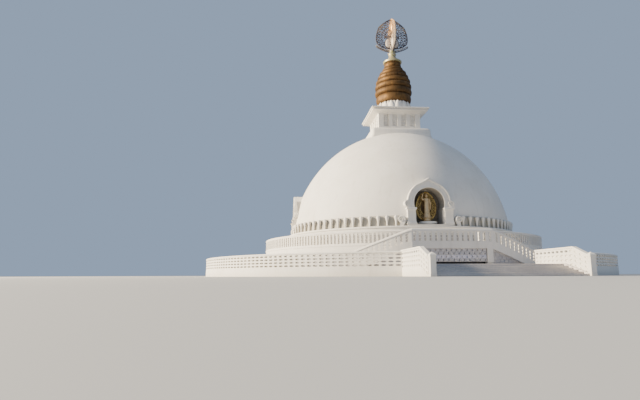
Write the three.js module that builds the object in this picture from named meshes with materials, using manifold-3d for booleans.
// A white domed stupa on two round terraces, as a half-size model.
// Sizes are those of the real building in metres times METRE, so the model is in millimetres.
// The dome's axis is Z, the ground is z = 0 and the entrance faces -Y.
import * as THREE from "three";
import { mergeVertices } from "three/addons/utils/BufferGeometryUtils.js";
import Module from "manifold-3d";

const wasm = await Module();
wasm.setup();

const METRE = 500;
const DEGREE = Math.PI / 180;
const JOINT = 0.3; // gap between two pieces that meet, in millimetres
const OVERCUT = 0.1 * METRE; // how far a cutting shape runs past the face that it opens

// Levels
const LOWER_FLOOR = 0.69 * METRE;
const UPPER_FLOOR = 2.4 * METRE;

// Lower terrace, its ring wall and the entrance between two wings
const RING = {
  outer: 19.05 * METRE,
  thickness: 0.35 * METRE,
  top: 1.58 * METRE,
  walls: 6,
  facetsPerWall: 12,
};
const WING = {
  outerX: 4.52 * METRE,
  thickness: 0.35 * METRE,
  innerY: -18.1 * METRE,
  bendY: -22.31 * METRE,
  outerY: -23.64 * METRE,
  top: 1.64 * METRE,
  endTop: 1.13 * METRE,
};
const WING_HOLE = {
  width: 0.3 * METRE,
  height: 0.12 * METRE,
  columns: 8,
  firstY: -18.85 * METRE,
  pitch: 0.448 * METRE,
  slopedYs: [-22.52 * METRE, -22.98 * METRE, -23.42 * METRE],
  depths: [0.25 * METRE, 0.5 * METRE, 0.75 * METRE], // below the coping's top
};
const POST = {
  width: 0.4 * METRE,
  depth: 0.35 * METRE,
  shaftTop: 1.14 * METRE,
  capRise: 0.13 * METRE,
};
const ENTRY_STAIR = {
  topY: -21.6 * METRE,
  risers: 6,
  tread: 0.44 * METRE,
};

// Upper terrace: a round drum with a slotted parapet, open behind the landing
const DRUM = { radius: 13.41 * METRE, frontFacets: 6 };
const PARAPET = {
  thickness: 0.25 * METRE,
  top: 3.43 * METRE,
  openHalfAngle: 12.62 * DEGREE,
  walls: 5,
  facetsPerWall: 12,
  slotsPerFacet: 4,
  slotWidth: 0.15 * METRE,
  slotLow: 2.48 * METRE,
  slotHigh: 3.24 * METRE,
};

// Landing in front of the drum, at the head of two curved flights
const LANDING = {
  halfWidth: 2.93 * METRE,
  frontY: -15.33 * METRE,
  parapetThickness: 0.25 * METRE,
  railTop: 3.32 * METRE,
  slots: 15,
  slotPitch: 0.39 * METRE,
  slotWidth: 0.17 * METRE,
  slotBelowRail: [0.88 * METRE, 0.22 * METRE],
};
const RECESS = {
  halfWidth: 2.51 * METRE,
  low: 0.84 * METRE,
  high: 1.92 * METRE,
  depth: 0.75 * METRE,
  grilleLow: 1.02 * METRE,
  grilleSetback: 0.3 * METRE,
  grilleThickness: 0.08 * METRE,
};
const FLIGHT = {
  outer: 15.6 * METRE,
  parapetThickness: 0.25 * METRE,
  footAngle: 27.5 * DEGREE,
  risers: 11,
  treadAngle: 1.55 * DEGREE,
  slopeStart: 11.1 * DEGREE,
  railFall: 0.1003 * METRE, // per degree
  bandDepth: 1.45 * METRE,
  slots: 11,
  firstSlot: 12.1 * DEGREE,
  slotPitch: 1.43 * DEGREE,
  slotAngle: 0.62 * DEGREE,
  facets: 12,
};

// Dome on its plinth, with a ring of upright petals at its foot
const DOME_PLINTH = { radius: 11.1 * METRE, top: 3.97 * METRE, facets: 56 };
const DOME = {
  radius: 10.9 * METRE,
  springing: 2.34 * METRE,
  rise: 12.18 * METRE,
  fullness: 2.065,
  footRadius: 10.66 * METRE,
  footTop: 4.9 * METRE,
  facets: 40,
  courses: 10,
};
const PETAL = {
  perQuadrant: 17,
  firstAngle: 14.8 * DEGREE,
  footWidth: 0.3 * METRE,
  width: 0.56 * METRE,
  shoulder: 0.6 * METRE,
  height: 0.88 * METRE,
  inner: 10.8 * METRE,
  outer: 11.04 * METRE,
  backingStart: 12.2 * DEGREE,
  backingHeight: 0.5 * METRE,
  backing: [10.7 * METRE, 10.86 * METRE],
  backingFacets: 8,
};
const SCROLL = {
  angle: 12.6 * DEGREE,
  radius: 0.36 * METRE,
  centre: 4.52 * METRE,
  stemHalfWidth: 0.17 * METRE,
  sides: 12,
};

// Four niches facing the four sides, each with a standing figure
const NICHE = {
  sides: ["front", "right", "back", "left"],
  frontY: -10.8 * METRE,
  footY: -10.95 * METRE,
  backY: -9.25 * METRE,
  plinthHalfWidth: 1.93 * METRE,
  plinthTop: 4.1 * METRE,
  jamb: 1.14 * METRE,
  columnOuter: 1.65 * METRE,
  footOuter: 1.8 * METRE,
  footTop: 4.4 * METRE,
  capital: [5.16 * METRE, 5.45 * METRE],
  capitalOuter: 1.89 * METRE,
  archCentre: 5.79 * METRE,
  archInner: 1.27 * METRE,
  archOuter: 1.83 * METRE,
  ogeeStart: 57 * DEGREE,
  peak: 8.08 * METRE,
  voluteX: 1.75 * METRE,
  voluteZ: 5.88 * METRE,
  voluteRadius: 0.3 * METRE,
  voluteSides: 14,
};
const FIGURE = {
  y: -9.85 * METRE,
  floor: 4.1 * METRE,
  stepHeight: 0.14 * METRE,
  stepHalfWidth: 0.8 * METRE,
  pedestalRadius: 0.42 * METRE,
  pedestalTop: 4.5 * METRE,
  shoulder: 6.02 * METRE,
  headRadius: 0.15 * METRE,
  haloHalfWidth: 0.86 * METRE,
  haloCentre: 5.62 * METRE,
  haloRise: 1.15 * METRE,
  haloShoulder: 0.85, // of the half width, at 0.96 of the top's height
  haloCrown: 0.96,
  haloThickness: 0.06 * METRE,
  haloSetback: 0.15 * METRE,
  facets: 10,
  limbSides: 6,
};
// Radius and height of the pedestal, as shares of its radius and height
const PEDESTAL_PROFILE = [
  [0.85, 0.2],
  [1, 0.6],
  [0.85, 1],
];
// Radius and height of the robe, as shares of the height from the pedestal to the shoulders
const ROBE_PROFILE = [
  [0.17, -0.03],
  [0.2, 0.04],
  [0.15, 0.5],
  [0.19, 0.85],
  [0.14, 0.97],
];
const ROBE_CROWN = 1.04;
// Both ends of each stretch of arm, in shares of the same height from the shoulders' centre
const ARM_RUNS = [
  [[0.2, -0.1], [0.24, -0.38]],
  [[-0.2, -0.1], [-0.27, 0.05]],
  [[-0.27, 0.05], [-0.18, 0.3]],
];

// Square harmika on the dome's crown
const HARMIKA = {
  plinthHalf: 2.9 * METRE,
  plinthLow: 13.1 * METRE,
  plinthTop: 14.7 * METRE,
  boxHalf: 2.16 * METRE,
  boxTop: 16.3 * METRE,
  panelHalf: 1.62 * METRE,
  panel: [15.11 * METRE, 16.22 * METRE],
  panels: 4,
  mullion: 0.14 * METRE,
  panelDepth: 0.12 * METRE,
  corniceHalf: 2.88 * METRE,
  corniceEdge: 16.6 * METRE,
  corniceTop: 16.87 * METRE,
};

// Ringed spire on a lotus, and the crossed openwork vanes over it
const LOTUS = {
  top: 18.05 * METRE,
  coreRadius: 1.6 * METRE,
  petals: 16,
  petalWidth: 0.66 * METRE,
  petalRadius: 1.78 * METRE,
  petalThickness: 0.2 * METRE,
  shoulder: 0.62 * METRE,
};
// Height and radius of the eight rings, from the foot up
const SPIRE_RINGS = [
  [18.42, 1.9],
  [19.2, 2.02],
  [19.82, 2.0],
  [20.41, 1.87],
  [20.95, 1.63],
  [21.43, 1.43],
  [21.93, 1.1],
  [22.4, 0.93],
].map(([height, radius]) => ({ height: height * METRE, radius: radius * METRE }));
const SPIRE = { foot: 18.05 * METRE, top: 22.72 * METRE, groove: 0.18 * METRE, facets: 20 };
const CAP = {
  radius: 1.0 * METRE,
  rim: 22.8 * METRE,
  shoulder: 22.95 * METRE,
  neckRadius: 0.36 * METRE,
  neck: 23.5 * METRE,
  knobRadius: 0.43 * METRE,
  knob: 23.8 * METRE,
  headRadius: 0.3 * METRE,
  head: 24.02 * METRE,
  top: 24.2 * METRE,
  facets: 16,
};
const ARMS = {
  radius: 1.78 * METRE,
  centre: 24.2 * METRE,
  tip: 24.78 * METRE,
  depth: 0.13 * METRE,
  halfWidth: 0.09 * METRE,
  hubRadius: 0.26 * METRE,
  hubSides: 8,
};
const VANE = {
  foot: 24.42 * METRE,
  hipX: 1.68 * METRE,
  hip: 25.04 * METRE,
  widest: 25.75 * METRE,
  widestX: 1.98 * METRE, // the curve's control point, outside the edge itself
  shoulderX: 1.46 * METRE,
  shoulder: 26.95 * METRE,
  crownX: 0.75 * METRE,
  crown: 27.72 * METRE,
  top: 28.0 * METRE,
  thickness: 0.1 * METRE,
  lobeX: 0.55 * METRE,
  lobeZ: 25.45 * METRE,
  lobeHalfWidth: 0.3 * METRE,
  lobeHalfHeight: 0.62 * METRE,
  holeRing: 1.25 * METRE,
  holeAngles: [-20 * DEGREE, 12 * DEGREE, 44 * DEGREE],
  holeRadius: 0.2 * METRE,
};
const CURVE_STEPS = 6; // straight lengths in each curve of an outline

const WHITE = { color: 0xe9e5dc, roughness: 0.75, metalness: 0 };
const CONCRETE = { color: 0xa9a4ad, roughness: 0.9, metalness: 0 };
const BRONZE = { color: 0xa8743a, roughness: 0.5, metalness: 0.6 };
const GOLD = { color: 0xb98a3c, roughness: 0.4, metalness: 0.8 };
const IRON = { color: 0x5f6470, roughness: 0.6, metalness: 0.7 };
const COPPER = { color: 0xa9b8a6, roughness: 0.6, metalness: 0.4 };

const stupa = new THREE.Group();

// A closed geometry as a solid that can be joined and cut
function solid(geometry) {
  const bare = new THREE.BufferGeometry();
  bare.setAttribute("position", geometry.getAttribute("position"));
  bare.setIndex(geometry.index);
  const merged = mergeVertices(bare);
  const corners = merged.index.array;
  const faces = [];
  for (let i = 0; i < corners.length; i += 3) {
    const [a, b, c] = corners.slice(i, i + 3);
    if (a !== b && b !== c && c !== a) faces.push(a, b, c);
  }
  return new wasm.Manifold(
    new wasm.Mesh({
      numProp: 3,
      vertProperties: merged.getAttribute("position").array,
      triVerts: Uint32Array.from(faces),
    }),
  );
}

function join(solids) {
  return solids.reduce((whole, piece) => whole.add(piece));
}

function addNode(name, body, finish, parent = stupa) {
  const cut = body.getMesh();
  const geometry = new THREE.BufferGeometry();
  geometry.setAttribute("position", new THREE.BufferAttribute(cut.vertProperties, 3));
  geometry.setIndex(new THREE.BufferAttribute(cut.triVerts, 1));
  const mesh = new THREE.Mesh(geometry, new THREE.MeshStandardMaterial({ ...finish, flatShading: true }));
  mesh.name = name;
  parent.add(mesh);
}

// A point on the plan, with the angle counted from the entrance towards +X
function onPlan(angle, radius) {
  return new THREE.Vector2(radius * Math.sin(angle), -radius * Math.cos(angle));
}

function block({ x, y, z }) {
  const box = new THREE.BoxGeometry(x[1] - x[0], y[1] - y[0], z[1] - z[0]);
  return solid(box.translate((x[0] + x[1]) / 2, (y[0] + y[1]) / 2, (z[0] + z[1]) / 2));
}

// A box bent round the dome's axis. Each height is a number or a function of the angle.
function sector({ angles: [from, to], radii: [inner, outer], heights: [low, high], facets = 1 }) {
  const box = new THREE.BoxGeometry(1, 1, 1, facets, 1, 1);
  const corners = box.getAttribute("position");
  const at = (height, angle) => (typeof height === "function" ? height(angle) : height);
  for (let i = 0; i < corners.count; i += 1) {
    const angle = THREE.MathUtils.lerp(from, to, corners.getX(i) + 0.5);
    const place = onPlan(angle, corners.getY(i) < 0 ? outer : inner);
    corners.setXYZ(i, place.x, place.y, at(corners.getZ(i) < 0 ? low : high, angle));
  }
  return solid(box);
}

// A flat outline raised from one level to another
function slab(outline, low, high) {
  const shape = outline instanceof THREE.Shape ? outline : new THREE.Shape(outline);
  const options = { depth: high - low, bevelEnabled: false, curveSegments: CURVE_STEPS };
  return new THREE.ExtrudeGeometry(shape, options).translate(0, 0, low);
}

// A front view, drawn as x and height, given its depth from backY forward to frontY
function facade(outline, frontY, backY) {
  return solid(slab(outline, -backY, -frontY).rotateX(Math.PI / 2));
}

// A side view, drawn as y and height, given its width from x0 to x1
function profile(outline, x0, x1) {
  return solid(slab(outline, x0, x1).rotateX(Math.PI / 2).rotateZ(Math.PI / 2));
}

// A profile of [radius, height] points from the foot on the axis to the top on the axis, turned round Z
function turned(points, facets) {
  const outline = points.map(([radius, height]) => new THREE.Vector2(radius, height));
  return solid(new THREE.LatheGeometry(outline, facets).rotateX(Math.PI / 2));
}

function disc(angles, radius, low, high) {
  const rim = angles.map((angle) => onPlan(angle, radius));
  return solid(slab(rim, low, high));
}

function evenAngles(from, to, facets) {
  return Array.from({ length: facets + 1 }, (_, i) => THREE.MathUtils.lerp(from, to, i / facets));
}

const mirrored = (body) => body.mirror([1, 0, 0]);
const SIDES = { left: mirrored, right: (body) => body };

// Lower terrace

const ringStart = Math.asin(WING.outerX / RING.outer);
const ringAngles = evenAngles(ringStart, 2 * Math.PI - ringStart, RING.walls * RING.facetsPerWall);
const wingInnerX = WING.outerX - WING.thickness;

function lowerTerrace() {
  const round = disc(ringAngles, RING.outer - RING.thickness - JOINT, 0, LOWER_FLOOR);
  const walkX = [-wingInnerX + JOINT, wingInnerX - JOINT];
  const forecourt = block({ x: walkX, y: [ENTRY_STAIR.topY, WING.innerY], z: [0, LOWER_FLOOR] });
  const besideWalk = ["left", "right"].map((side) => {
    const y = [-RING.outer, WING.innerY + JOINT];
    return SIDES[side](block({ x: [wingInnerX - JOINT, RING.outer], y, z: [-OVERCUT, UPPER_FLOOR] }));
  });
  return round.subtract(join(besideWalk)).add(forecourt);
}

function ringWall(index) {
  const first = index * RING.facetsPerWall;
  const turnOfJoint = JOINT / RING.outer;
  const wall = sector({
    angles: [ringAngles[first] + turnOfJoint, ringAngles[first + RING.facetsPerWall] - turnOfJoint],
    radii: [RING.outer - RING.thickness, RING.outer],
    heights: [0, RING.top],
    facets: RING.facetsPerWall,
  });
  const entrance = block({
    x: [-WING.outerX - JOINT, WING.outerX + JOINT],
    y: [-RING.outer - OVERCUT, -RING.outer / 2],
    z: [-OVERCUT, UPPER_FLOOR],
  });
  return wall.subtract(entrance);
}

function wingTop(y) {
  const along = THREE.MathUtils.clamp((y - WING.bendY) / (WING.outerY - WING.bendY), 0, 1);
  return THREE.MathUtils.lerp(WING.top, WING.endTop, along);
}

function entryWing() {
  const outline = [
    new THREE.Vector2(WING.innerY, 0),
    new THREE.Vector2(WING.innerY, WING.top),
    new THREE.Vector2(WING.bendY, WING.top),
    new THREE.Vector2(WING.outerY + JOINT, WING.endTop),
    new THREE.Vector2(WING.outerY + JOINT, 0),
  ];
  const levelYs = Array.from({ length: WING_HOLE.columns }, (_, i) => WING_HOLE.firstY - i * WING_HOLE.pitch);
  const holes = [...levelYs, ...WING_HOLE.slopedYs].flatMap((y) =>
    WING_HOLE.depths.map((depth) => wingHole(y, depth)),
  );
  return profile(outline, wingInnerX, WING.outerX).subtract(join(holes));
}

// One slot of the screen blocks, its sides upright and its top parallel to the coping
function wingHole(y, depth) {
  const ends = [y - WING_HOLE.width / 2, y + WING_HOLE.width / 2];
  const [outerTop, innerTop] = ends.map((end) => wingTop(end) - depth + WING_HOLE.height / 2);
  const outline = [
    new THREE.Vector2(ends[0], outerTop - WING_HOLE.height),
    new THREE.Vector2(ends[1], innerTop - WING_HOLE.height),
    new THREE.Vector2(ends[1], innerTop),
    new THREE.Vector2(ends[0], outerTop),
  ];
  return profile(outline, wingInnerX - OVERCUT, WING.outerX + OVERCUT);
}

function entryPost() {
  const x = [WING.outerX - POST.width, WING.outerX];
  const y = [WING.outerY - POST.depth, WING.outerY];
  const cap = new THREE.ConeGeometry(POST.width / Math.SQRT2, POST.capRise, 4).rotateY(Math.PI / 4);
  cap.rotateX(Math.PI / 2).scale(1, POST.depth / POST.width, 1);
  cap.translate(WING.outerX - POST.width / 2, WING.outerY - POST.depth / 2, POST.shaftTop + POST.capRise / 2);
  return block({ x, y, z: [0, POST.shaftTop] }).add(solid(cap));
}

function entryStair() {
  const outline = [new THREE.Vector2(ENTRY_STAIR.topY - JOINT, 0)];
  const riser = LOWER_FLOOR / ENTRY_STAIR.risers;
  for (let step = ENTRY_STAIR.risers - 1; step > 0; step -= 1) {
    const back = ENTRY_STAIR.topY - (ENTRY_STAIR.risers - 1 - step) * ENTRY_STAIR.tread;
    const start = step === ENTRY_STAIR.risers - 1 ? back - JOINT : back;
    outline.push(new THREE.Vector2(start, step * riser));
    outline.push(new THREE.Vector2(back - ENTRY_STAIR.tread, step * riser));
  }
  outline.push(new THREE.Vector2(ENTRY_STAIR.topY - (ENTRY_STAIR.risers - 1) * ENTRY_STAIR.tread, 0));
  const postInnerX = WING.outerX - POST.width;
  const steps = profile(outline, -wingInnerX + JOINT, wingInnerX - JOINT);
  const postRoom = ["left", "right"].map((side) =>
    SIDES[side](
      block({
        x: [postInnerX - JOINT, WING.outerX],
        y: [WING.outerY - POST.depth - OVERCUT, WING.outerY + JOINT],
        z: [-OVERCUT, LOWER_FLOOR],
      }),
    ),
  );
  return steps.subtract(join(postRoom));
}

// Upper terrace, landing and flights

const parapetAngles = evenAngles(
  PARAPET.openHalfAngle,
  2 * Math.PI - PARAPET.openHalfAngle,
  PARAPET.walls * PARAPET.facetsPerWall,
);
const drumAngles = [
  ...parapetAngles,
  ...evenAngles(-PARAPET.openHalfAngle, PARAPET.openHalfAngle, DRUM.frontFacets).slice(1, -1),
];

function upperParapet(index) {
  const first = index * PARAPET.facetsPerWall;
  const turnOfJoint = JOINT / DRUM.radius;
  const radii = [DRUM.radius - PARAPET.thickness, DRUM.radius];
  const wall = sector({
    angles: [parapetAngles[first] + turnOfJoint, parapetAngles[first + PARAPET.facetsPerWall] - turnOfJoint],
    radii,
    heights: [UPPER_FLOOR, PARAPET.top],
    facets: PARAPET.facetsPerWall,
  });
  const slots = [];
  const pitch = (parapetAngles[1] - parapetAngles[0]) / PARAPET.slotsPerFacet;
  for (let slot = 0; slot < PARAPET.facetsPerWall * PARAPET.slotsPerFacet; slot += 1) {
    const angle = parapetAngles[first] + (slot + 0.5) * pitch;
    const halfSlot = PARAPET.slotWidth / DRUM.radius / 2;
    slots.push(
      sector({
        angles: [angle - halfSlot, angle + halfSlot],
        radii: [radii[0] - OVERCUT, radii[1] + OVERCUT],
        heights: [PARAPET.slotLow, PARAPET.slotHigh],
      }),
    );
  }
  return wall.subtract(join(slots));
}

const drumRoom = disc(drumAngles, DRUM.radius + JOINT, 0, PARAPET.top);
const flightAngles = [FLIGHT.slopeStart / 2, FLIGHT.footAngle];
const flightWallInner = FLIGHT.outer - FLIGHT.parapetThickness;

function landing() {
  const mass = block({
    x: [-LANDING.halfWidth, LANDING.halfWidth],
    y: [LANDING.frontY, -DRUM.radius / 2],
    z: [LOWER_FLOOR, UPPER_FLOOR],
  });
  const recess = block({
    x: [-RECESS.halfWidth, RECESS.halfWidth],
    y: [LANDING.frontY - OVERCUT, LANDING.frontY + RECESS.depth],
    z: [RECESS.low, RECESS.high],
  });
  return mass.subtract(drumRoom).subtract(recess);
}

function landingGrille() {
  const frontY = LANDING.frontY + RECESS.grilleSetback;
  return block({
    x: [-RECESS.halfWidth + JOINT, RECESS.halfWidth - JOINT],
    y: [frontY, frontY + RECESS.grilleThickness],
    z: [RECESS.grilleLow, RECESS.high - JOINT],
  });
}

function landingParapet() {
  const outline = [
    new THREE.Vector2(-LANDING.halfWidth, UPPER_FLOOR),
    new THREE.Vector2(LANDING.halfWidth, UPPER_FLOOR),
    new THREE.Vector2(LANDING.halfWidth, LANDING.railTop),
    new THREE.Vector2(-LANDING.halfWidth, LANDING.railTop),
  ];
  const [low, high] = LANDING.slotBelowRail.map((depth) => LANDING.railTop - depth);
  const slots = Array.from({ length: LANDING.slots }, (_, i) => {
    const x = (i - (LANDING.slots - 1) / 2) * LANDING.slotPitch;
    return block({
      x: [x - LANDING.slotWidth / 2, x + LANDING.slotWidth / 2],
      y: [LANDING.frontY - OVERCUT, LANDING.frontY + LANDING.parapetThickness + OVERCUT],
      z: [low, high],
    });
  });
  return facade(outline, LANDING.frontY, LANDING.frontY + LANDING.parapetThickness).subtract(join(slots));
}

// Room for the landing beside the flights, which start at its flat sides
const landingRoom = block({
  x: [-LANDING.halfWidth - JOINT, LANDING.halfWidth + JOINT],
  y: [-FLIGHT.outer - OVERCUT, -DRUM.radius / 2],
  z: [0, PARAPET.top],
});

function railTop(angle) {
  const fallen = Math.max(0, (angle - FLIGHT.slopeStart) / DEGREE) * FLIGHT.railFall;
  return LANDING.railTop - fallen;
}

function flight() {
  const riser = (UPPER_FLOOR - LOWER_FLOOR) / FLIGHT.risers;
  const stairFoot = FLIGHT.footAngle - JOINT / FLIGHT.outer;
  const steps = [];
  for (let step = 1; step <= FLIGHT.risers; step += 1) {
    const top = step === FLIGHT.risers;
    const nearer = stairFoot - (step - 1) * FLIGHT.treadAngle;
    steps.push(
      sector({
        angles: [top ? flightAngles[0] : nearer - FLIGHT.treadAngle, nearer],
        radii: [DRUM.radius - OVERCUT, FLIGHT.outer],
        heights: [LOWER_FLOOR, LOWER_FLOOR + step * riser],
        facets: top ? 2 : 1,
      }),
    );
  }
  const parapetRoom = sector({
    angles: flightAngles,
    radii: [flightWallInner - JOINT, FLIGHT.outer + OVERCUT],
    heights: [0, PARAPET.top],
    facets: FLIGHT.facets,
  });
  return join(steps).subtract(parapetRoom).subtract(landingRoom).subtract(drumRoom);
}

function flightParapet() {
  const bandBottom = (angle) => Math.max(LOWER_FLOOR, railTop(angle) - FLIGHT.bandDepth);
  const wall = sector({
    angles: flightAngles,
    radii: [flightWallInner, FLIGHT.outer],
    heights: [bandBottom, railTop],
    facets: FLIGHT.facets,
  });
  const [low, high] = LANDING.slotBelowRail.map((depth) => (angle) => railTop(angle) - depth);
  const slots = Array.from({ length: FLIGHT.slots }, (_, i) => {
    const angle = FLIGHT.firstSlot + i * FLIGHT.slotPitch;
    return sector({
      angles: [angle - FLIGHT.slotAngle / 2, angle + FLIGHT.slotAngle / 2],
      radii: [flightWallInner - OVERCUT, FLIGHT.outer + OVERCUT],
      heights: [low, high],
    });
  });
  return wall.subtract(join(slots)).subtract(landingRoom);
}

// Dome, petals and niches

function domeRadius(height) {
  const lift = (height - DOME.springing) / DOME.rise;
  return DOME.radius * Math.sqrt(1 - Math.min(1, lift) ** DOME.fullness);
}

function domeSolid(grown = 0) {
  const points = [
    [0, DOME_PLINTH.top],
    [DOME.footRadius + grown, DOME_PLINTH.top],
  ];
  const crown = DOME.springing + DOME.rise;
  const spread = Math.acos((DOME.footTop - DOME.springing) / DOME.rise);
  for (let course = 0; course < DOME.courses; course += 1) {
    const height = DOME.springing + DOME.rise * Math.cos(spread * (1 - course / DOME.courses));
    points.push([Math.min(domeRadius(height), DOME.footRadius) + grown, height]);
  }
  points.push([0, crown + grown]);
  return turned(points, DOME.facets);
}

// The horseshoe opening: upright jambs under a round arch that is wider than they are
function nicheOpening(grown = 0) {
  const jamb = NICHE.jamb + grown;
  const radius = NICHE.archInner + grown;
  const start = -Math.acos(jamb / radius);
  const opening = new THREE.Shape();
  opening.moveTo(-jamb, NICHE.plinthTop);
  opening.lineTo(jamb, NICHE.plinthTop);
  opening.absarc(0, NICHE.archCentre, radius, start, Math.PI - start, false);
  opening.closePath();
  return opening;
}

// The portal's outline: flared feet, capitals, and a round arch that rises to an ogee point
function nicheOutline() {
  const portal = new THREE.Shape();
  const side = Math.asin((NICHE.voluteZ - NICHE.archCentre) / NICHE.archOuter);
  const ogeeX = NICHE.archOuter * Math.cos(NICHE.ogeeStart);
  const ogeeZ = NICHE.archCentre + NICHE.archOuter * Math.sin(NICHE.ogeeStart);
  const bendZ = (ogeeZ + NICHE.peak) / 2;
  portal.moveTo(-NICHE.footOuter, NICHE.plinthTop);
  portal.lineTo(NICHE.footOuter, NICHE.plinthTop);
  portal.lineTo(NICHE.columnOuter, NICHE.footTop);
  portal.lineTo(NICHE.columnOuter, NICHE.capital[0]);
  portal.lineTo(NICHE.capitalOuter, NICHE.capital[0]);
  portal.lineTo(NICHE.capitalOuter, NICHE.capital[1]);
  portal.lineTo(NICHE.voluteX, NICHE.capital[1]);
  portal.absarc(0, NICHE.archCentre, NICHE.archOuter, side, NICHE.ogeeStart, false);
  portal.quadraticCurveTo(ogeeX / 3, bendZ, 0, NICHE.peak);
  portal.quadraticCurveTo(-ogeeX / 3, bendZ, -ogeeX, ogeeZ);
  portal.absarc(0, NICHE.archCentre, NICHE.archOuter, Math.PI - NICHE.ogeeStart, Math.PI - side, false);
  portal.lineTo(-NICHE.voluteX, NICHE.capital[1]);
  portal.lineTo(-NICHE.capitalOuter, NICHE.capital[1]);
  portal.lineTo(-NICHE.capitalOuter, NICHE.capital[0]);
  portal.lineTo(-NICHE.columnOuter, NICHE.capital[0]);
  portal.lineTo(-NICHE.columnOuter, NICHE.footTop);
  portal.closePath();
  return portal;
}

function nicheFrame() {
  const portal = facade(nicheOutline(), NICHE.frontY, NICHE.backY);
  const plinth = block({
    x: [-NICHE.plinthHalfWidth, NICHE.plinthHalfWidth],
    y: [NICHE.footY, NICHE.backY],
    z: [DOME_PLINTH.top, NICHE.plinthTop],
  });
  const volutes = ["left", "right"].map((side) => {
    const { voluteRadius: radius, voluteSides, frontY, backY } = NICHE;
    const volute = new THREE.CylinderGeometry(radius, radius, backY - frontY, voluteSides);
    volute.translate(NICHE.voluteX, (frontY + backY) / 2, NICHE.voluteZ);
    return SIDES[side](solid(volute));
  });
  const opening = facade(nicheOpening(), NICHE.footY - OVERCUT, NICHE.backY + OVERCUT);
  return join([portal, plinth, ...volutes]).subtract(opening).subtract(domeSolid(JOINT));
}

function dome() {
  const harmikaRoom = block({
    x: [-HARMIKA.plinthHalf - JOINT, HARMIKA.plinthHalf + JOINT],
    y: [-HARMIKA.plinthHalf - JOINT, HARMIKA.plinthHalf + JOINT],
    z: [HARMIKA.plinthLow - JOINT, HARMIKA.corniceTop],
  });
  const recess = facade(nicheOpening(JOINT), NICHE.footY - OVERCUT, NICHE.backY);
  return NICHE.sides.reduce(
    (mass, _, quarter) => mass.subtract(recess.rotate([0, 0, quarter * 90])),
    domeSolid().subtract(harmikaRoom),
  );
}

// Upright petals before a low backing, with a scroll on a stem at each end
function petalBand() {
  const angles = evenAngles(PETAL.firstAngle, Math.PI / 2 - PETAL.firstAngle, PETAL.perQuadrant - 1);
  const low = DOME_PLINTH.top;
  const backing = sector({
    angles: [PETAL.backingStart, Math.PI / 2 - PETAL.backingStart],
    radii: PETAL.backing,
    heights: [low, low + PETAL.backingHeight],
    facets: PETAL.backingFacets,
  });
  const outline = [
    new THREE.Vector2(-PETAL.footWidth / 2, low),
    new THREE.Vector2(PETAL.footWidth / 2, low),
    new THREE.Vector2(PETAL.width / 2, low + PETAL.shoulder),
    new THREE.Vector2(0, low + PETAL.height),
    new THREE.Vector2(-PETAL.width / 2, low + PETAL.shoulder),
  ];
  const petal = facade(outline, -PETAL.outer, -PETAL.inner);
  const petals = angles.map((angle) => petal.rotate([0, 0, angle / DEGREE]));
  const ends = [SCROLL.angle, Math.PI / 2 - SCROLL.angle];
  const scrolls = ends.map((angle) => endScroll().rotate([0, 0, angle / DEGREE]));
  return join([backing, ...petals, ...scrolls]);
}

function endScroll() {
  const depth = PETAL.outer - PETAL.inner;
  const curl = new THREE.CylinderGeometry(SCROLL.radius, SCROLL.radius, depth, SCROLL.sides);
  curl.translate(0, -PETAL.outer + depth / 2, SCROLL.centre);
  const stem = block({
    x: [-SCROLL.stemHalfWidth, SCROLL.stemHalfWidth],
    y: [-PETAL.outer, -PETAL.inner],
    z: [DOME_PLINTH.top, SCROLL.centre],
  });
  return solid(curl).add(stem);
}

// A robed figure on a lotus pedestal, one arm raised, before a pointed oval halo
function nicheFigure() {
  const { y, floor, pedestalTop, shoulder, headRadius } = FIGURE;
  const tall = shoulder - pedestalTop;
  const step = block({
    x: [-FIGURE.stepHalfWidth, FIGURE.stepHalfWidth],
    y: [y - FIGURE.pedestalRadius - OVERCUT, NICHE.backY - JOINT],
    z: [floor + JOINT, floor + FIGURE.stepHeight],
  });
  const pedestal = standing(
    PEDESTAL_PROFILE.map(([share, lift]) => [
      share * FIGURE.pedestalRadius,
      THREE.MathUtils.lerp(floor, pedestalTop, lift),
    ]),
    pedestalTop,
  );
  const robe = standing(
    ROBE_PROFILE.map(([share, lift]) => [share * tall, pedestalTop + lift * tall]),
    pedestalTop + ROBE_CROWN * tall,
  ).scale([1, 0.75, 1]);
  const head = new THREE.SphereGeometry(headRadius, 8, 6).rotateX(Math.PI / 2).scale(0.85, 0.95, 1.15);
  head.translate(0, 0, shoulder + 1.3 * headRadius);
  const neck = new THREE.CylinderGeometry(headRadius / 2, headRadius / 2, 2 * headRadius, FIGURE.limbSides);
  neck.rotateX(Math.PI / 2).translate(0, 0, shoulder);
  const fromShoulders = ([x, z]) => new THREE.Vector2(x * tall, shoulder + z * tall);
  const arms = ARM_RUNS.map((run) => limb(run.map(fromShoulders)));
  const body = join([pedestal, robe, solid(head), solid(neck), ...arms]).translate([0, y, 0]);
  const haloFrontY = y + FIGURE.haloSetback;
  const glory = facade(haloOutline(), haloFrontY, haloFrontY + FIGURE.haloThickness);
  const stay = block({
    x: [-headRadius / 2, headRadius / 2],
    y: [y, haloFrontY + FIGURE.haloThickness / 2],
    z: [pedestalTop, shoulder + headRadius],
  });
  return join([step, body, glory, stay]);
}

// A turned body whose profile closes on the axis at its first level and at the crown
function standing(points, crown) {
  return turned([[0, points[0][1]], ...points, [0, crown]], FIGURE.facets);
}

function limb([start, end]) {
  const run = end.clone().sub(start);
  const wrist = 0.4 * FIGURE.headRadius;
  const elbow = 0.5 * FIGURE.headRadius;
  const arm = new THREE.CylinderGeometry(wrist, elbow, run.length() + FIGURE.headRadius, FIGURE.limbSides);
  arm.rotateZ(-Math.atan2(run.x, run.y)).rotateX(Math.PI / 2);
  return solid(arm.translate((start.x + end.x) / 2, 0, (start.y + end.y) / 2));
}

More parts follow.
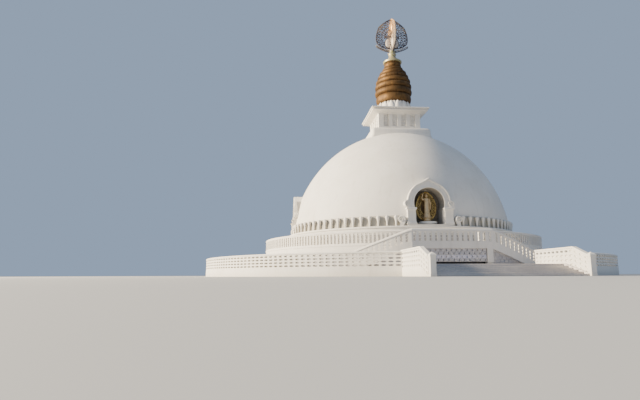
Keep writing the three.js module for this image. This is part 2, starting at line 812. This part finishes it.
function haloOutline() {
  const { haloHalfWidth: half, haloCentre, haloRise } = FIGURE;
  const low = haloCentre - haloRise;
  const high = haloCentre + haloRise;
  const halo = new THREE.Shape();
  halo.moveTo(0, low);
  halo.quadraticCurveTo(half, low, half, haloCentre);
  halo.quadraticCurveTo(FIGURE.haloShoulder * half, FIGURE.haloCrown * high, 0, high);
  halo.quadraticCurveTo(-FIGURE.haloShoulder * half, FIGURE.haloCrown * high, -half, haloCentre);
  halo.quadraticCurveTo(-half, low, 0, low);
  return halo;
}

// Harmika

function harmikaPlinth() {
  const half = HARMIKA.plinthHalf;
  return block({ x: [-half, half], y: [-half, half], z: [HARMIKA.plinthLow, HARMIKA.plinthTop] });
}

function harmikaBox() {
  const half = HARMIKA.boxHalf;
  const core = block({ x: [-half, half], y: [-half, half], z: [HARMIKA.plinthTop, HARMIKA.boxTop] });
  const bay = (2 * HARMIKA.panelHalf + HARMIKA.mullion) / HARMIKA.panels;
  const panels = Array.from({ length: HARMIKA.panels }, (_, i) =>
    block({
      x: [-HARMIKA.panelHalf + i * bay, -HARMIKA.panelHalf + (i + 1) * bay - HARMIKA.mullion],
      y: [-half - OVERCUT, -half + HARMIKA.panelDepth],
      z: HARMIKA.panel,
    }),
  );
  const side = join(panels);
  return [0, 90, 180, 270].reduce((box, turn) => box.subtract(side.rotate([0, 0, turn])), core);
}

function harmikaCornice() {
  const rise = HARMIKA.corniceEdge - HARMIKA.boxTop;
  const slope = new THREE.CylinderGeometry(
    HARMIKA.corniceHalf * Math.SQRT2,
    (HARMIKA.boxHalf + HARMIKA.mullion) * Math.SQRT2,
    rise,
    4,
  );
  slope.rotateY(Math.PI / 4).rotateX(Math.PI / 2).translate(0, 0, HARMIKA.boxTop + rise / 2);
  const half = HARMIKA.corniceHalf;
  const edge = block({ x: [-half, half], y: [-half, half], z: [HARMIKA.corniceEdge, HARMIKA.corniceTop] });
  return solid(slope).add(edge);
}

// Spire

function lotusRing() {
  const low = HARMIKA.corniceTop;
  const core = turned(
    [
      [0, low],
      [LOTUS.coreRadius, low],
      [LOTUS.coreRadius, LOTUS.top],
      [0, LOTUS.top],
    ],
    LOTUS.petals,
  );
  const outline = [
    new THREE.Vector2(-LOTUS.petalWidth / 2, low),
    new THREE.Vector2(LOTUS.petalWidth / 2, low),
    new THREE.Vector2(LOTUS.petalWidth / 2, low + LOTUS.shoulder),
    new THREE.Vector2(0, LOTUS.top),
    new THREE.Vector2(-LOTUS.petalWidth / 2, low + LOTUS.shoulder),
  ];
  const petal = facade(outline, -LOTUS.petalRadius, -LOTUS.petalRadius + LOTUS.petalThickness);
  const turn = 360 / LOTUS.petals;
  const petals = Array.from({ length: LOTUS.petals }, (_, i) => petal.rotate([0, 0, i * turn]));
  return join([core, ...petals]);
}

function spire() {
  const points = [
    [0, SPIRE.foot],
    [SPIRE_RINGS[0].radius - SPIRE.groove, SPIRE.foot],
  ];
  SPIRE_RINGS.forEach((ring, i) => {
    const next = SPIRE_RINGS[i + 1];
    points.push([ring.radius, ring.height]);
    if (next) {
      const grooveRadius = (ring.radius + next.radius) / 2 - SPIRE.groove;
      points.push([grooveRadius, (ring.height + next.height) / 2]);
    }
  });
  const last = SPIRE_RINGS[SPIRE_RINGS.length - 1];
  points.push([last.radius - SPIRE.groove, SPIRE.top], [0, SPIRE.top]);
  return turned(points, SPIRE.facets);
}

function spireCap() {
  return turned(
    [
      [0, SPIRE.top],
      [CAP.radius, CAP.rim],
      [CAP.radius, CAP.shoulder],
      [CAP.neckRadius, CAP.neck],
      [CAP.knobRadius, CAP.knob],
      [CAP.headRadius, CAP.head],
      [CAP.headRadius, CAP.top - JOINT],
      [0, CAP.top - JOINT],
    ],
    CAP.facets,
  );
}

// Two crossed curved bars, low at the hub that carries the finial and rising to their tips
function finialArms() {
  const bar = new THREE.Shape();
  bar.moveTo(-ARMS.radius, ARMS.tip);
  bar.quadraticCurveTo(0, 2 * ARMS.centre - ARMS.tip, ARMS.radius, ARMS.tip);
  bar.lineTo(ARMS.radius, ARMS.tip + ARMS.depth);
  bar.quadraticCurveTo(0, 2 * ARMS.centre - ARMS.tip + ARMS.depth, -ARMS.radius, ARMS.tip + ARMS.depth);
  bar.closePath();
  const arm = facade(bar, -ARMS.halfWidth, ARMS.halfWidth);
  const hubTop = VANE.foot - JOINT;
  const hub = turned(
    [
      [0, ARMS.centre],
      [ARMS.hubRadius, ARMS.centre],
      [ARMS.hubRadius, hubTop],
      [0, hubTop],
    ],
    ARMS.hubSides,
  );
  return join([arm, arm.rotate([0, 0, 90]), hub]);
}

// Two crossed upright plates with a pointed round outline, pierced beside the axis and along the edge
function finial() {
  const piercings = join(vanePiercings().map((hole) => facade(hole, -VANE.thickness, VANE.thickness)));
  const vane = facade(vaneOutline(), -VANE.thickness / 2, VANE.thickness / 2).subtract(piercings);
  const armRoom = finialArms().translate([0, 0, JOINT]);
  return vane.add(vane.rotate([0, 0, 90])).subtract(armRoom);
}

function vaneOutline() {
  const plate = new THREE.Shape();
  plate.moveTo(0, VANE.foot);
  plate.quadraticCurveTo((2 * VANE.hipX) / 3, VANE.foot, VANE.hipX, VANE.hip);
  plate.quadraticCurveTo(VANE.widestX, VANE.widest, VANE.shoulderX, VANE.shoulder);
  plate.quadraticCurveTo(VANE.crownX, VANE.crown, 0, VANE.top);
  plate.quadraticCurveTo(-VANE.crownX, VANE.crown, -VANE.shoulderX, VANE.shoulder);
  plate.quadraticCurveTo(-VANE.widestX, VANE.widest, -VANE.hipX, VANE.hip);
  plate.quadraticCurveTo((-2 * VANE.hipX) / 3, VANE.foot, 0, VANE.foot);
  return plate;
}

// A tall lobe on each side of the axis and round holes along each edge
function vanePiercings() {
  return [-1, 1].flatMap((side) => {
    const lobe = new THREE.Shape();
    lobe.absellipse(side * VANE.lobeX, VANE.lobeZ, VANE.lobeHalfWidth, VANE.lobeHalfHeight, 0, 2 * Math.PI);
    const holes = VANE.holeAngles.map((angle) => {
      const hole = new THREE.Shape();
      const x = side * VANE.holeRing * Math.cos(angle);
      hole.absarc(x, VANE.widest + VANE.holeRing * Math.sin(angle), VANE.holeRadius, 0, 2 * Math.PI);
      return hole;
    });
    return [lobe, ...holes];
  });
}

addNode("lower_terrace", lowerTerrace(), WHITE);
addNode("entry_stair", entryStair(), CONCRETE);
for (let index = 0; index < RING.walls; index += 1) {
  addNode(`ring_wall_${index + 1}`, ringWall(index), WHITE);
}
for (const side of ["left", "right"]) {
  addNode(`entry_wing_${side}`, SIDES[side](entryWing()), WHITE);
  addNode(`entry_post_${side}`, SIDES[side](entryPost()), WHITE);
}
addNode("upper_terrace", disc(drumAngles, DRUM.radius, LOWER_FLOOR, UPPER_FLOOR), WHITE);
for (let index = 0; index < PARAPET.walls; index += 1) {
  addNode(`upper_parapet_${index + 1}`, upperParapet(index), WHITE);
}
addNode("landing", landing(), WHITE);
addNode("landing_grille", landingGrille(), WHITE);
addNode("landing_parapet", landingParapet(), WHITE);
for (const side of ["left", "right"]) {
  addNode(`flight_${side}`, SIDES[side](flight()), WHITE);
  addNode(`flight_parapet_${side}`, SIDES[side](flightParapet()), WHITE);
}
const plinthAngles = evenAngles(0, 2 * Math.PI, DOME_PLINTH.facets).slice(1);
addNode("dome_plinth", disc(plinthAngles, DOME_PLINTH.radius, UPPER_FLOOR, DOME_PLINTH.top), WHITE);
addNode("dome", dome(), WHITE);
NICHE.sides.forEach((side, quarter) => {
  const turn = new THREE.Group();
  turn.rotation.z = (quarter * Math.PI) / 2;
  stupa.add(turn);
  addNode(`niche_frame_${side}`, nicheFrame(), WHITE, turn);
  addNode(`niche_figure_${side}`, nicheFigure(), GOLD, turn);
  addNode(`petal_band_${quarter + 1}`, petalBand(), WHITE, turn);
});
addNode("harmika_plinth", harmikaPlinth(), WHITE);
addNode("harmika_box", harmikaBox(), WHITE);
addNode("harmika_cornice", harmikaCornice(), WHITE);
addNode("lotus_ring", lotusRing(), WHITE);
addNode("spire", spire(), BRONZE);
addNode("spire_cap", spireCap(), COPPER);
addNode("finial_arms", finialArms(), IRON);
addNode("finial", finial(), IRON);

export default stupa;
